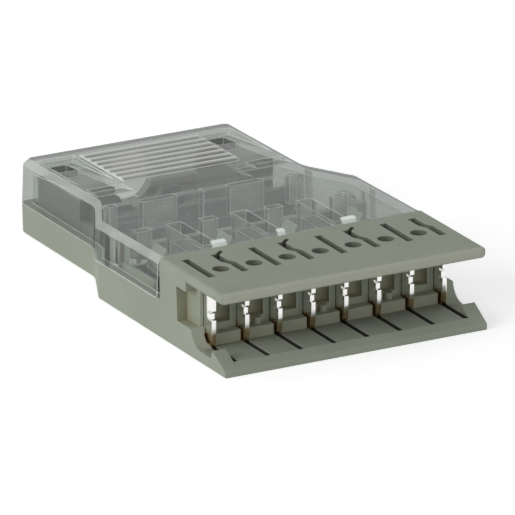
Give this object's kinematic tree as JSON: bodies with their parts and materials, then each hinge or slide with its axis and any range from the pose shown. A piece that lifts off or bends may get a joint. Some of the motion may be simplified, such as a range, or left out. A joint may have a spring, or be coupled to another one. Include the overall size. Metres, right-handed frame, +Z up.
{
  "type": "punch-down patch plug",
  "caption": "Flat patch plug for a punch-down wiring block: open mouth with a row of bladed contacts, clear lift-off cover over the wire end.",
  "frame": {"origin": "centre of the plug's footprint, on its underside", "axes": "+X along the contact row from contact 1 to contact 8, +Y from the mouth to the cable entry, +Z up through the plate"},
  "size_m": [0.0312, 0.05, 0.0087],
  "materials": {
    "moulding": "satin",
    "clear": "clear",
    "contact_metal": "plated"
  },
  "bodies": {
    "plug": {"housing": "moulding", "contact_1": "contact_metal", "contact_2": "contact_metal", "contact_3": "contact_metal", "contact_4": "contact_metal", "contact_5": "contact_metal", "contact_6": "contact_metal", "contact_7": "contact_metal", "contact_8": "contact_metal"},
    "cover_body": {"cover": "clear"}
  },
  "joints": [
    {"name": "cover_lift", "type": "slide", "parent": "plug", "child": "cover_body", "axis": [0, 0, 1], "range_m": [0, 0.008]}
  ]
}
